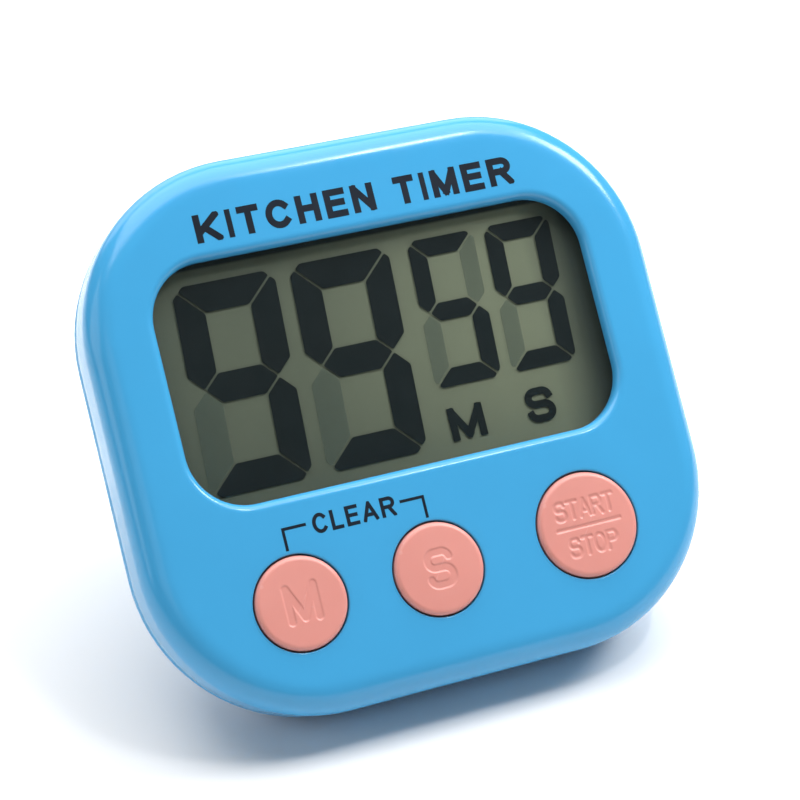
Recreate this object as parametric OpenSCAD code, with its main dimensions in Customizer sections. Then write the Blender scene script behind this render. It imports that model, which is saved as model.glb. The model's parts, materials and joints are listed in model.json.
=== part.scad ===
// Digital kitchen timer: a two-part ABS case that leans back on a fold-out stand, with a
// segment display, three push buttons, a buzzer, one AAA cell and two holding magnets.
// Every part is drawn in the face frame: X right, Y up the face, Z out of the face, with
// the origin at the middle of the face. on_floor() then stands the timer on the floor.

/* [Case] */
// Width across the face
case_w = 85; // [84:0.5:88]
// Height up the face
case_h = 79.68; // [79:0.5:83]
// Depth from the face to the back
case_d = 19; // [19:0.5:21]
// Radius of the four corners
corner_r = 24.8; // [23.5:0.1:26]
// Radius of the rounded edge around the face
shoulder = 3.7; // [2.5:0.1:4]
// Depth of the front shell, to the parting line
front_d = 9.8; // [9.5:0.1:10.5]
// Thickness of the shell walls
wall = 2; // [1.8:0.1:2.2]
// Angle that the face leans back from upright
lean = 41; // [35:1:45]

/* [Display] */
// Width of the display window
window_w = 65.2; // [64:0.2:66]
// Height of the display window
window_h = 34.7; // [34:0.1:35]
// Corner radius of the display window
window_r = 8.3; // [6:0.1:9]
// Height of the window's middle above the middle of the face
window_y = 8.36; // [8:0.1:8.8]

/* [Buttons] */
// Radius of the minute and second buttons
small_button_r = 6.56; // [6:0.1:6.8]
// Radius of the start and stop button
large_button_r = 7.56; // [7:0.1:7.8]
// How far a button stands out of the face
button_proud = 0.7; // [0.4:0.1:1]
// How far a button travels
button_travel = 0.6; // [0.3:0.1:0.7]

/* [Stand and battery door] */
// Width of the fold-out stand
stand_w = 30; // [26:1:31]
// Distance from the stand's hinge to the middle of its foot
stand_reach = 31.5; // [30.5:0.1:31.5]
// Width of the battery door without its rails
door_w = 49; // [48:0.5:49]

/* [Hidden] */
$fn = 48;

shell_blue = "#4aa8e2";
button_pink = "#f0988c";
steel = "#c4c8cc";

// Edge profiles of the case, as [depth, inset] pairs from the widest section outwards.
edge_steps = 5;
side_end = 10.9;
round_inset = 8.5;
front_profile = concat([[front_d, 0]], [for (i = [0 : edge_steps])
    let (a = i * 90 / edge_steps) [shoulder * (1 - sin(a)), shoulder * (1 - cos(a))]]);
rear_profile = concat([[front_d, 0]], [for (i = [0 : edge_steps])
    let (a = i * 90 / edge_steps)
    [side_end + (case_d - side_end) * sin(a), round_inset * (1 - cos(a))]]);
// The hollow inside the rear shell keeps a wall behind the lip and on the rounded edge.
lip_inset = 3.4;
lip_h = 1.4;
back_inner = case_d - wall;
cavity_end_inset = 5.4;
cavity_profile = concat([[front_d - 0.1, lip_inset]], [for (p = rear_profile)
    if (p[0] < back_inner) [p[0], max(lip_inset, p[1] + wall)]],
    [[back_inner, cavity_end_inset]]);
// Pads inside the rear shell start within the back wall.
pad_base = -case_d + 1.1;
// How far a cut runs past the surface it opens.
over = 1;

// Standing on the floor: the lowest edge of the rear rim touches the floor at Z = 0,
// and the whole timer's box is centred on the row's origin.
floor_drop = max([for (p = rear_profile)
    (case_h / 2 - p[1]) * cos(lean) + p[0] * sin(lean)]);
front_reach = max([for (p = front_profile)
    (case_h / 2 - p[1]) * sin(lean) - p[0] * cos(lean)]);
back_reach = max([for (p = rear_profile)
    (case_h / 2 - p[1]) * sin(lean) + p[0] * cos(lean)]);
back_shift = (front_reach - back_reach) / 2;

// Buttons: [x, y, radius], in the order minutes, seconds, start and stop.
button_m_at = [-21.98, -23.77, small_button_r];
button_s_at = [-1.5, -23.72, small_button_r];
button_start_at = [21.76, -22.71, large_button_r];
buttons = [button_m_at, button_s_at, button_start_at];
button_gap = 0.25;
flange_w = 1;
flange_z = -wall - 0.1;
flange_t = 0.8;
plunger_top = -3.9;
plunger_r = 1.75;
plunger_l = 2;

// Display stack, from the front wall backwards.
glass_w = 67.4;
glass_top = 26.9;
ledge_bottom = -12.9;
rear_glass_bottom = -9.4;
polariser_z = -wall - 0.1;
front_glass_z = polariser_z - 0.2;
segment_z = front_glass_z - 0.7;
rear_glass_z = segment_z - 0.05;
reflector_z = rear_glass_z - 0.7;
holder_z = reflector_z - 0.35;
holder_t = 0.9;
window_x = -0.16;
holder_pegs = [for (sx = [-1, 1], y = [0, 16]) [sx * 36.5 + window_x, y]];
peg_r = 0.8;
peg_out = 1.6;
zebra_low = [-31.4, -12.5];
zebra_high = [31.4, -10.3];

// Circuit board, its front face and thickness.
board_z = -8;
board_t = 1.2;
board_back = board_z - board_t;

// Screws, the bosses they bite into, and the towers that the case screws pass through.
board_screw_at = [[-11.7, -16.4], [10.1, -16.4], [0, -33.6]];
board_boss_r = 2.2;
board_pilot_r = 0.8;
case_screw_at = [[-29.5, 30.2], [29.5, 30.2], [-33.5, -21], [33.5, -21]];
case_boss_r = 2.6;
case_pilot_r = 1;
case_tower_r = 3.4;
case_hole_r = 1.25;
counterbore_r = 2.4;
pilot_end = -3.5;
screw_seat = -12.4;
drive_w = 0.5;
drive_d = 0.6;

// Battery compartment for one AAA cell lying along X.
cell_y = 18;
cell_z = -12.2;
cell_r = 5.2;
cell_l = 43.5;
cell_x = -21.9;
tip_l = 1;
tub_x = [-25.4, 23.2];
tub_half = 5.4;
tub_front = -6.9;
tub_wall = 1;
contact_t = 0.4;
tail_z = [-11, -9.4];
tail_out = 1.9;
door_t = 1.4;
door_y = [10.5, 31.2];
door_pad = [27.4, 33.8, -15.5];
rail_w = 1.2;
rail_t = 0.7;
grip_w = 7;
grip_pitch = 1.7;
grip_t = 0.8;
slip = 0.15;

// Stand hinge, and the angle at which the stand's foot reaches the floor.
hinge_y = 3;
hinge_z = -17;
hinge_pin_r = 1.1;
hinge_pin_l = 2.4;
barrel_r = 1.8;
foot_r = 1.1;
plate_out = 1.8;
plate_in = 0.2;
stop_gap = 0.04;
foot_grip_w = 6;
foot_grip_pitch = 1.6;
foot_grip_t = 0.7;
foot_off = (plate_out - plate_in) / 2;
foot_arm = sqrt(pow(stand_reach, 2) + pow(foot_off, 2));
hinge_h = hinge_y * cos(lean) + hinge_z * sin(lean) + floor_drop;
stand_open = lean + acos((hinge_h - foot_r) / foot_arm) - atan(foot_off / stand_reach);
recess_floor = -16.6;
recess_end = hinge_y - stand_reach - foot_r - 0.4;
recess_side = 3.5;
recess_roof = -14.6;
pocket_top = -14.9;
pocket_roof = -13.2;
notch_w = 7;
notch_z = -17.3;

// Buzzer and magnets.
buzzer_at = [0, -14];
buzzer_r = 10;
buzzer_z = -13.4;
buzzer_seat_w = 0.8;
sound_hole_r = 0.8;
sound_ring_r = 3.6;
magnet_r = 6;
magnet_t = 2.6;
magnet_at = [25.5, -12];
magnet_face = -case_d - 0.2;
magnet_pocket = -16.5;
magnet_roof = -14.9;

// ---------- shared shapes ----------

// Outline of a rounded rectangle, its corners as arcs.
function rounded_points(w, h, r, steps = 12) =
    [for (c = [[1, 1, 0], [-1, 1, 90], [-1, -1, 180], [1, -1, 270]], i = [0 : steps])
        let (a = c[2] + i * 90 / steps)
        [c[0] * (w / 2 - r) + r * cos(a), c[1] * (h / 2 - r) + r * sin(a)]];
module rounded(w, h, r) {
    polygon(rounded_points(w, h, r));
}

// The case's outline, brought in by an inset.
function outline_points(inset) =
    rounded_points(case_w - 2 * inset, case_h - 2 * inset, corner_r - inset);

// The solid inside an edge profile of [depth, inset] pairs: one ring of points for each pair.
module shell_form(profile) {
    n = len(outline_points(0));
    last = len(profile) - 1;
    points = [for (p = profile) for (q = outline_points(p[1])) [q[0], q[1], -p[0]]];
    walls = [for (i = [0 : last - 1], k = [0 : n - 1])
        let (m = (k + 1) % n, up = profile[last][0] < profile[0][0])
        up ? [i * n + k, (i + 1) * n + k, (i + 1) * n + m, i * n + m]
        : [i * n + m, (i + 1) * n + m, (i + 1) * n + k, i * n + k]];
    ends = profile[last][0] < profile[0][0]
        ? [[for (k = [0 : n - 1]) k], [for (k = [n - 1 : -1 : 0]) last * n + k]]
        : [[for (k = [n - 1 : -1 : 0]) k], [for (k = [0 : n - 1]) last * n + k]];
    polyhedron(points, concat(walls, ends), convexity = 6);
}

// A slab with the case's outline between two depths.
module slab(inset, z_low, z_high) {
    translate([0, 0, z_low]) linear_extrude(z_high - z_low) polygon(outline_points(inset));
}

// A block between two corners.
module block(low, high) {
    translate(low) cube(high - low);
}

// An upright post or hole along Z between two heights.
module post(at, r, z_low, z_high) {
    translate([at[0], at[1], z_low]) cylinder(r = r, h = z_high - z_low);
}

// Everything leans back and stands on the floor through this.
module on_floor() {
    translate([0, back_shift, floor_drop]) rotate([90 - lean, 0, 0]) children();
}

// Smooth route through a list of points (Catmull-Rom), as a list of points.
function spline_point(a, b, c, d, t) = 0.5 * (2 * b + (c - a) * t
    + (2 * a - 5 * b + 4 * c - d) * t * t + (3 * b - a - 3 * c + d) * t * t * t);
function spline(p, per = 4) = concat([for (i = [0 : len(p) - 2], k = [0 : per - 1])
    spline_point(p[max(i - 1, 0)], p[i], p[i + 1], p[min(i + 2, len(p) - 1)], k / per)],
    [p[len(p) - 1]]);
function unit(v) = v / norm(v);
function tangent(p, i) = unit(p[min(i + 1, len(p) - 1)] - p[max(i - 1, 0)]);

// A round wire or tube swept along points. side is any direction off the route.
module swept(points, r, side = [0.3, 0.2, 1], sides = 8) {
    n = len(points);
    rings = [for (i = [0 : n - 1])
        let (t = tangent(points, i), u = unit(cross(t, side)), v = cross(t, u))
        for (k = [0 : sides - 1])
            points[i] + r * (cos(k * 360 / sides) * u + sin(k * 360 / sides) * v)];
    walls = [for (i = [0 : n - 2], k = [0 : sides - 1])
        let (m = (k + 1) % sides)
        [i * sides + k, i * sides + m, (i + 1) * sides + m, (i + 1) * sides + k]];
    ends = [[for (k = [sides - 1 : -1 : 0]) k], [for (k = [0 : sides - 1]) (n - 1) * sides + k]];
    polyhedron(rings, concat(walls, ends), convexity = 4);
}

// ---------- case ----------

module front_shell() color(shell_blue) on_floor() difference() {
    union() {
        difference() {
            shell_form(front_profile);
            slab(wall, -front_d - over, -wall);
        }
        for (at = case_screw_at) post(at, case_boss_r, -front_d + 0.05, -wall + 0.1);
        for (at = board_screw_at) post(at, board_boss_r, board_z, -wall + 0.1);
        for (at = holder_pegs) post(at, peg_r, holder_z - peg_out, -wall + 0.1);
    }
    translate([window_x, window_y, -wall - over]) linear_extrude(wall + 2 * over)
        rounded(window_w, window_h, window_r);
    for (b = buttons) post(b, b[2] + button_gap, -wall - over, over);
    for (at = case_screw_at) post(at, case_pilot_r, -front_d - over, pilot_end);
    for (at = board_screw_at) post(at, board_pilot_r, board_z - over, pilot_end);
}

module rear_shell() color(shell_blue) on_floor() difference() {
    union() {
        difference() {
            shell_form(rear_profile);
            difference() {
                shell_form(cavity_profile);
                for (at = case_screw_at) post(at, case_tower_r, -case_d, -front_d);
            }
        }
        locating_lip();
        tub_and_pads();
        difference() {
            post(buzzer_at, buzzer_r + buzzer_seat_w, recess_roof - 0.4, buzzer_z);
            post(buzzer_at, buzzer_r - buzzer_seat_w, recess_roof, buzzer_z + over);
        }
    }
    battery_bay();
    door_channel();
    stand_recess();
    for (s = [-1, 1])
        post([s * magnet_at[0], magnet_at[1]], magnet_r + 0.1, -case_d - over, magnet_pocket);
    for (at = case_screw_at) {
        post(at, case_hole_r, -case_d - over, 0);
        post(at, counterbore_r, -case_d - over, screw_seat);
    }
    post(buzzer_at, sound_hole_r, recess_floor - over, recess_roof + over);
    for (a = [0 : 60 : 300])
        post(buzzer_at + sound_ring_r * [cos(a), sin(a)], sound_hole_r,
            recess_floor - over, recess_roof + over);
}

// Walls of the battery tub, and the pads behind the door, the stand and the magnets.
module tub_and_pads() {
    side = stand_w / 2 + recess_side;
    block([tub_x[0] - tub_wall, cell_y - tub_half - tub_wall, pad_base],
        [tub_x[1] + tub_wall, cell_y + tub_half + tub_wall, tub_front + tub_wall]);
    block([-door_pad[0], cell_y, pad_base], door_pad);
    block([-side, recess_end - 4, pad_base], [side, hinge_y + 4, recess_roof]);
    block([-side, hinge_y - 4, pad_base], [side, hinge_y + 4, pocket_roof]);
    for (s = [-1, 1])
        post([s * magnet_at[0], magnet_at[1]], magnet_r + 1.4, pad_base, magnet_roof);
}

// Ring that stands up from the rear shell's rim and locates it in the front shell, notched
// around the front shell's bosses.
module locating_lip() {
    difference() {
        slab(wall + slip, -front_d - 0.1, -front_d + lip_h);
        slab(lip_inset, -front_d - over, -front_d + lip_h + over);
        for (at = case_screw_at) post(at, case_boss_r + slip, -front_d, 0);
    }
}

// Space for the cell, and the slots that the contacts' tails pass through.
module battery_bay() {
    block([tub_x[0], cell_y - tub_half, -case_d + door_t],
        [tub_x[1], cell_y + tub_half, tub_front]);
    for (x = [tub_x[0], tub_x[1] - contact_t - 0.2])
        block([x, cell_y - tub_half - 2, tail_z[0] - 0.4],
            [x + contact_t + 0.2, cell_y, tail_z[1] + 0.4]);
}

// Channel for the battery door, open at the top end of the back.
module door_channel() {
    half = door_w / 2 + slip;
    top = case_h / 2 + over;
    roof = -case_d + door_t + 0.1;
    block([-half, door_y[0] - slip, -case_d - over], [half, top, roof]);
    block([-half - rail_w, door_y[0] - slip, roof - rail_t - 0.2], [half + rail_w, top, roof]);
}

// Recess for the folded stand: hinge pocket, stop face, floor, pin bores and finger notch.
module stand_recess() {
    n = [sin(stand_open), -cos(stand_open)];
    d = [-cos(stand_open), -sin(stand_open)];
    stop = [hinge_y, hinge_z] + (plate_out + stop_gap) * n;
    edge = -case_d - over;
    lip = stop + d * (edge - stop[1]) / d[1];
    top = hinge_y + barrel_r + 0.1;
    bottom = hinge_y - barrel_r - 0.15;
    half = stand_w / 2 + slip;
    translate([-half, 0, 0]) rotate([90, 0, 90]) linear_extrude(2 * half)
        polygon([[top, pocket_top], [top, stop[1] + (top - stop[0]) / d[0] * d[1]], lip,
            [recess_end, edge], [recess_end, recess_floor], [bottom, recess_floor],
            [bottom, pocket_top]]);
    for (s = [-1, 1]) translate([s * (half - 0.5), hinge_y, hinge_z])
        rotate([0, s * 90, 0]) cylinder(r = hinge_pin_r + 0.05, h = hinge_pin_l + 0.6);
    block([-notch_w, -case_h / 2, -case_d - over], [notch_w, recess_end + over, notch_z]);
}

module kickstand() color(shell_blue) on_floor()
    translate([0, hinge_y, hinge_z]) rotate([stand_open, 0, 0]) difference() {
        union() {
            block([-stand_w / 2, -stand_reach, -plate_out], [stand_w / 2, 0, plate_in]);
            stand_bar(barrel_r, stand_w, 0, 0);
            stand_bar(foot_r, stand_w, -stand_reach, -foot_off);
            stand_bar(hinge_pin_r, stand_w + 2 * hinge_pin_l, 0, 0);
        }
        for (i = [0 : 3]) let (y = -stand_reach + 2 + foot_grip_pitch * i)
            block([-foot_grip_w, y, -plate_out - over],
                [foot_grip_w, y + foot_grip_t, -plate_out + 0.3]);
    }

// A round bar along X, centred, at a place on the stand.
module stand_bar(r, l, y, z) {
    translate([-l / 2, y, z]) rotate([0, 90, 0]) cylinder(r = r, h = l);
}

module battery_door() color(shell_blue) on_floor() difference() {
    union() {
        block([-door_w / 2, door_y[0], -case_d], [door_w / 2, door_y[1], -case_d + door_t]);
        block([-door_w / 2 - rail_w + 0.1, door_y[0], -case_d + door_t - rail_t],
            [door_w / 2 + rail_w - 0.1, door_y[1], -case_d + door_t]);
    }
    for (i = [0 : 4]) let (y = door_y[0] + 3 + grip_pitch * i)
        block([-grip_w, y, -case_d - over], [grip_w, y + grip_t, -case_d + 0.4]);
}

// ---------- buttons ----------

// Button cap: domed edge, flange behind the front wall, and a middle boss over the switch.
module button_cap(b) {
    r = b[2];
    back = flange_z - flange_t;
    color(button_pink) on_floor() translate([b[0], b[1], 0]) rotate_extrude()
        polygon([[0, button_proud], [r - 1, button_proud], [r - 0.35, button_proud - 0.2],
            [r, button_proud - 0.65], [r, flange_z], [r + flange_w, flange_z],
            [r + flange_w, back], [r - 1.1, back], [r - 1.1, -0.8], [2, -0.8],
            [2, plunger_top + 0.05], [0, plunger_top + 0.05]]);
}

// Push-rod of the switch under a button. It travels with the button.
module plunger(b) {
    color("#20242a") on_floor() post(b, plunger_r, plunger_top - plunger_l, plunger_top);
}

module button_m() button_cap(button_m_at);
module button_s() button_cap(button_s_at);
module button_start_stop() button_cap(button_start_at);
module switch_plunger_m() plunger(button_m_at);
module switch_plunger_s() plunger(button_s_at);
module switch_plunger_start() plunger(button_start_at);

module switch_housings() color("#22262c") on_floor()
    for (b = buttons) difference() {
        block([b[0] - 3, b[1] - 3, board_z], [b[0] + 3, b[1] + 3, board_z + 3.2]);
        post(b, plunger_r + slip, plunger_top - plunger_l - button_travel - 0.3, 0);
    }

module switch_covers() color(steel) on_floor()
    for (b = buttons) difference() {
        block([b[0] - 3, b[1] - 3, board_z + 3.2], [b[0] + 3, b[1] + 3, board_z + 3.4]);
        post(b, plunger_r + slip, board_z + 3, 0);
    }

// ---------- display ----------

// A flat sheet of the display between two heights up the face.
module display_sheet(y_low, y_high, z, t, trim = 0) {
    block([window_x - glass_w / 2 + trim, y_low, z - t],
        [window_x + glass_w / 2 - trim, y_high, z]);
}

module lcd_front_polariser() color("#6f7a64", 0.6) on_floor()
    display_sheet(rear_glass_bottom + 0.2, glass_top - 0.2, polariser_z, 0.2, 0.2);
module lcd_front_glass() color("#b8c4b4", 0.5) on_floor()
    display_sheet(ledge_bottom, glass_top, front_glass_z, 0.7);
module lcd_rear_glass() color("#b8c4b4", 0.5) on_floor()
    display_sheet(rear_glass_bottom, glass_top, rear_glass_z, 0.7);
module lcd_reflector() color("#7a8468") on_floor()
    display_sheet(rear_glass_bottom + 0.2, glass_top - 0.2, reflector_z, 0.25, 0.2);

// One seven-segment digit in a box w x h, with strokes of width bar. The strokes lean by
// slant and stand gap clear of the lines between them, and cut takes off the box's corners.
// on lists the ones that show: a to f clockwise from the top, and g across the middle.
slant = 0.05;
gap = 0.2;
function leaned(points) = [for (p = points) [p[0] + slant * p[1], p[1]]];
function flipped(points, w, h, x, y) =
    [for (p = points) [x ? w - p[0] : p[0], y ? h - p[1] : p[1]]];

module digit(w, h, bar, cut, on) {
    m = h / 2;
    tip = bar / 2;
    t = (cut - gap) / 2;
    across = [[cut, h], [w - cut, h], [w - gap - t, h - t], [w - bar - gap, h - bar],
        [bar + gap, h - bar], [gap + t, h - t]];
    upright = [[0, h - cut], [t, h - gap - t], [bar, h - bar - gap], [bar, m + tip + gap],
        [tip, m + gap], [0, m + tip + gap]];
    middle = [[tip + gap, m], [bar + gap, m + tip], [w - bar - gap, m + tip],
        [w - tip - gap, m], [w - bar - gap, m - tip], [bar + gap, m - tip]];
    for (k = on)
        polygon(leaned(k == "g" ? middle
            : k == "a" || k == "d" ? flipped(across, w, h, false, k == "d")
            : flipped(upright, w, h, k == "b" || k == "c", k == "c" || k == "e")));
}

nine = ["a", "b", "c", "d", "f", "g"];
five = ["a", "c", "d", "f", "g"];

module big_digit(at, on) {
    translate(at) digit(15.1, 30, 4.2, 1.6, on);
}
module small_digit(at, on) {
    translate(at) digit(10.3, 21.8, 2.65, 1.1, on);
}

module lcd_segments() color("#1b2126") on_floor()
    translate([0, 0, segment_z - 0.04]) linear_extrude(0.03) {
        big_digit([-30.2, -7], nine);
        big_digit([-12.9, -7], nine);
        small_digit([5.6, 1.2], five);
        small_digit([17.6, 1.2], nine);
    }

module lcd_holder() color("#f2f2ee") on_floor() difference() {
    union() {
        display_sheet(ledge_bottom - 1.1, glass_top + 0.7, polariser_z,
            polariser_z - holder_z + holder_t, -0.8);
        for (at = holder_pegs) post(at, 2.4, holder_z - holder_t, holder_z + 0.4);
    }
    display_sheet(ledge_bottom - 0.1, glass_top + 0.1, 1, 1 - holder_z, -0.1);
    block([zebra_low[0] - 0.1, zebra_low[1] - 0.1, board_z],
        [zebra_high[0] + 0.1, zebra_high[1] + 0.1, 0]);
    for (at = holder_pegs) post(at, peg_r + 0.1, board_z, 0);
}

module zebra_strip() color("#c9b7c8") on_floor()
    block([zebra_low[0], zebra_low[1], board_z], [zebra_high[0], zebra_high[1], segment_z - 0.01]);

// ---------- circuit board ----------

module circuit_board() color("#2f7d4a") on_floor() difference() {
    translate([0, 0, board_back]) linear_extrude(board_t)
        polygon([[-31, -8.8], [-31, -15], [-27.5, -18], [-27.5, -31.6], [-22.5, -35.6],
            [22.5, -35.6], [27.5, -31.6], [27.5, -18], [31, -15], [31, -8.8]]);
    for (at = board_screw_at) post(at, board_pilot_r + 0.3, board_back - over, board_z + over);
}

module chip_blob() color("#16181b") on_floor() translate([-6, -24, board_back])
    rotate_extrude() polygon([[0, 0], [5, 0], [4.6, -0.6], [3.4, -1.1], [1.8, -1.4], [0, -1.5]]);

module timing_crystal() color(steel) on_floor() {
    translate([9, -26, board_back - 1.6]) rotate([0, 90, 0]) cylinder(r = 1.5, h = 6);
    for (s = [-1, 1]) translate([7, -26 + s * 0.6, board_back - 1.6])
        rotate([0, 90, 0]) cylinder(r = 0.2, h = 2.1);
}

module buffer_capacitor() color("#33384a") on_floor()
    post([20, -30], 2, board_back - 4.2, board_back);

module chip_capacitors() color("#b79a72") on_floor()
    for (at = [[-20, -13], [-20, -17], [4, -12], [16, -18]])
        block([at[0], at[1], board_back - 0.8], [at[0] + 2, at[1] + 1.2, board_back]);

module chip_resistors() color("#1d1f22") on_floor()
    for (i = [0 : 4])
        block([-22 + 2.6 * i, -31, board_back - 0.5], [-21.2 + 2.6 * i, -29.4, board_back]);

// Pan-head screw pointing towards the face, its head's seat at Z = seat.
module screw(at, seat, head_r, head_h, shank_r, length) {
    difference() {
        union() {
            post(at, head_r, seat - head_h, seat);
            post(at, shank_r, seat - 0.1, seat + length);
        }
        for (a = [0, 90]) translate([at[0], at[1], seat - head_h]) rotate([0, 0, a])
            cube([head_r * 1.3, drive_w, 2 * drive_d], center = true);
    }
}

module board_screws() color(steel) on_floor()
    for (at = board_screw_at) screw(at, board_back, 1.9, 1.1, 0.78, 5);
module case_screws() color(steel) on_floor()
    for (at = case_screw_at) screw(at, screw_seat, 2.2, 1.4, 0.98, 8);

// ---------- buzzer and wires ----------

module piezo_plate() color("#d3a94c") on_floor()
    post(buzzer_at, buzzer_r, buzzer_z, buzzer_z + 0.25);
module piezo_ceramic() color("#e8e6dc") on_floor()
    post(buzzer_at, 7, buzzer_z + 0.25, buzzer_z + 0.45);

wire_r = 0.5;
buzzer_red_route = [[3, -12, -12.4], [4, -11.6, -11.4], [7, -11, -10.8], [10, -11.4, -10.4],
    [12, -12, -9.75]];
buzzer_black_route = [[-8.6, -14, -12.6], [-9.4, -13.6, -11.6], [-12, -12.6, -10.9],
    [-14.4, -12.4, -10.4], [-16, -12.6, -9.75]];
battery_red_route = [[23.7, 10.9, -10.2], [24.6, 8, -10.7], [26, 3, -11.2], [27, -3, -11],
    [27, -8, -10.4], [26.4, -11, -9.75]];
battery_black_route = [for (p = battery_red_route) [-p[0] - (p[1] > 10 ? 0.2 : 0), p[1], p[2]]];

module buzzer_wire_red() color("#c8322c") on_floor() swept(spline(buzzer_red_route), wire_r);
module buzzer_wire_black() color("#1c1c1e") on_floor() swept(spline(buzzer_black_route), wire_r);
module battery_wire_red() color("#c8322c") on_floor() swept(spline(battery_red_route), wire_r);
module battery_wire_black() color("#1c1c1e") on_floor() swept(spline(battery_black_route), wire_r);

// ---------- battery ----------

// A cylinder along X on the cell's axis.
module along_cell(x, r, l) {
    translate([x, cell_y, cell_z]) rotate([0, 90, 0]) cylinder(r = r, h = l);
}

module battery_can() color(steel) on_floor() along_cell(cell_x, cell_r - 0.15, cell_l);
module battery_sleeve() color("#2b3038") on_floor() difference() {
    along_cell(cell_x + 0.4, cell_r, cell_l - 0.8);
    along_cell(cell_x - 1, cell_r - 0.15, cell_l + 2);
}
module battery_tip() color(steel) on_floor() along_cell(cell_x + cell_l, 1.9, tip_l);

// Conical coil spring from the negative contact to the cell's flat end.
spring_turns = 3;
spring_steps = 20;
spring_wire_r = 0.3;
spring_r = [3.8, 2];
spring_x = tub_x[0] + contact_t + spring_wire_r;
spring_l = cell_x - spring_x - spring_wire_r;
spring_route = [for (i = [0 : spring_turns * spring_steps])
    let (t = i / (spring_turns * spring_steps), a = i * 360 / spring_steps)
    let (r = spring_r[0] * (1 - t) + spring_r[1] * t)
    [spring_x + spring_l * t, cell_y + r * cos(a), cell_z + r * sin(a)]];

module battery_spring() color(steel) on_floor()
    swept(spring_route, spring_wire_r, [1, 0, 0], 6);

// Contact plate across one end of the bay, with a tail out through the bay's lower wall.
module contact(x) {
    block([x, cell_y - 4, cell_z - 4], [x + contact_t, cell_y + 4, cell_z + 4]);
    block([x, cell_y - tub_half - tail_out, tail_z[0]], [x + contact_t, cell_y - 3.9, tail_z[1]]);
}
module negative_contact() color(steel) on_floor() contact(tub_x[0]);
module positive_contact() color(steel) on_floor() contact(cell_x + cell_l + tip_l);

// ---------- magnets ----------

module magnet(side) {
    color("#8d9298") on_floor()
        post([side * magnet_at[0], magnet_at[1]], magnet_r, magnet_face, magnet_face + magnet_t);
}
module magnet_left() magnet(-1);
module magnet_right() magnet(1);

front_shell();
rear_shell();
battery_door();
kickstand();
button_m();
button_s();
button_start_stop();
switch_plunger_m();
switch_plunger_s();
switch_plunger_start();
lcd_front_polariser();
lcd_front_glass();
lcd_segments();
lcd_rear_glass();
lcd_reflector();
lcd_holder();
zebra_strip();
circuit_board();
chip_blob();
timing_crystal();
buffer_capacitor();
chip_capacitors();
chip_resistors();
switch_housings();
switch_covers();
board_screws();
case_screws();
piezo_plate();
piezo_ceramic();
buzzer_wire_red();
buzzer_wire_black();
battery_can();
battery_sleeve();
battery_tip();
battery_spring();
negative_contact();
positive_contact();
battery_wire_red();
battery_wire_black();
magnet_left();
magnet_right();
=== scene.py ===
import json
import math

import bmesh
import bpy
import numpy as np
from mathutils import Matrix, Vector


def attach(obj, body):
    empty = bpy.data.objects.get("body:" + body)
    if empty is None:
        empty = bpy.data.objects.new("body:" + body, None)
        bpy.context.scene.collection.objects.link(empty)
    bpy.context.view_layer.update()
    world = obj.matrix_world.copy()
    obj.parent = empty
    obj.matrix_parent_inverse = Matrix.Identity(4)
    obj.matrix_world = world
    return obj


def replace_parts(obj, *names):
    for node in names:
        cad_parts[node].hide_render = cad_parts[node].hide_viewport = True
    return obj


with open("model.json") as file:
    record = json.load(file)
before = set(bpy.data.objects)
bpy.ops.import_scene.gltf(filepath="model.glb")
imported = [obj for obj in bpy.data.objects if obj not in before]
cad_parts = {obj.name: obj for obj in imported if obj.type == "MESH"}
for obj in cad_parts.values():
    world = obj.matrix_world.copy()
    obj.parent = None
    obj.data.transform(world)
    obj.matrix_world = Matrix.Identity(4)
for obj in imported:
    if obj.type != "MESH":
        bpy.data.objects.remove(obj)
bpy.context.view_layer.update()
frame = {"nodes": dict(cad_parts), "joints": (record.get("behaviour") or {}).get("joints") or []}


NODES = frame["nodes"]
JOINTS = {joint["name"]: joint for joint in frame["joints"]}

# ---------------------------------------------------------------- the face frame
# Pieces are drawn in millimetres in the face frame: X right, Y up the face, Z out of the
# face, with the origin at the middle of the face. The joints' axes give its directions,
# and the front shell's box its origin.

MM = 0.001
UP_FACE = Vector(JOINTS["door_slide"]["axis"]).normalized()
INTO_CASE = Vector(JOINTS["m_press"]["axis"]).normalized()
TURN = Matrix((Vector((1, 0, 0)), UP_FACE, -INTO_CASE)).transposed()


def turned_box(node, origin=Vector((0, 0, 0))):
    """Lowest and highest corners of a CAD node in the face frame, in millimetres."""
    points = np.array([(TURN.transposed() @ (v.co - origin))[:] for v in NODES[node].data.vertices])
    return Vector(points.min(0) / MM), Vector(points.max(0) / MM)


low, high = turned_box("front_shell")
ORIGIN = TURN @ (Vector(((low.x + high.x) / 2, (low.y + high.y) / 2, high.z)) * MM)
FACE = Matrix.Translation(ORIGIN) @ TURN.to_4x4() @ Matrix.Scale(MM, 4)


def place(node):
    """Lowest and highest corners of a CAD node, in the face frame."""
    return turned_box(node, ORIGIN)


def middle(node):
    """The middle of a CAD node, across and up the face."""
    low_corner, high_corner = place(node)
    return (low_corner.x + high_corner.x) / 2, (low_corner.y + high_corner.y) / 2


# ---------------------------------------------------------------- sizes, in millimetres

case_low, case_high = place("front_shell")
CASE_W = case_high.x - case_low.x
CASE_H = case_high.y - case_low.y
PARTING_Z = case_low.z
BACK_Z = place("rear_shell")[0].z
CORNER_R = 24.8
WALL = 2.0

# The front edge rounds in by SHOULDER_W over the depth SHOULDER_D, squarer than an ellipse
# because its power is under 1. A ring on the side, at SIDE_RING_Z, keeps the shoulder's shading
# off the rest of the side. The back edge rounds in by ROUND_INSET behind SIDE_END.
SHOULDER_W = 4.4
SHOULDER_D = 4.2
SHOULDER_POWER = 0.95
SIDE_RING_Z = -7.5
ROUND_INSET = 8.5
SIDE_END = -10.9

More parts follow.
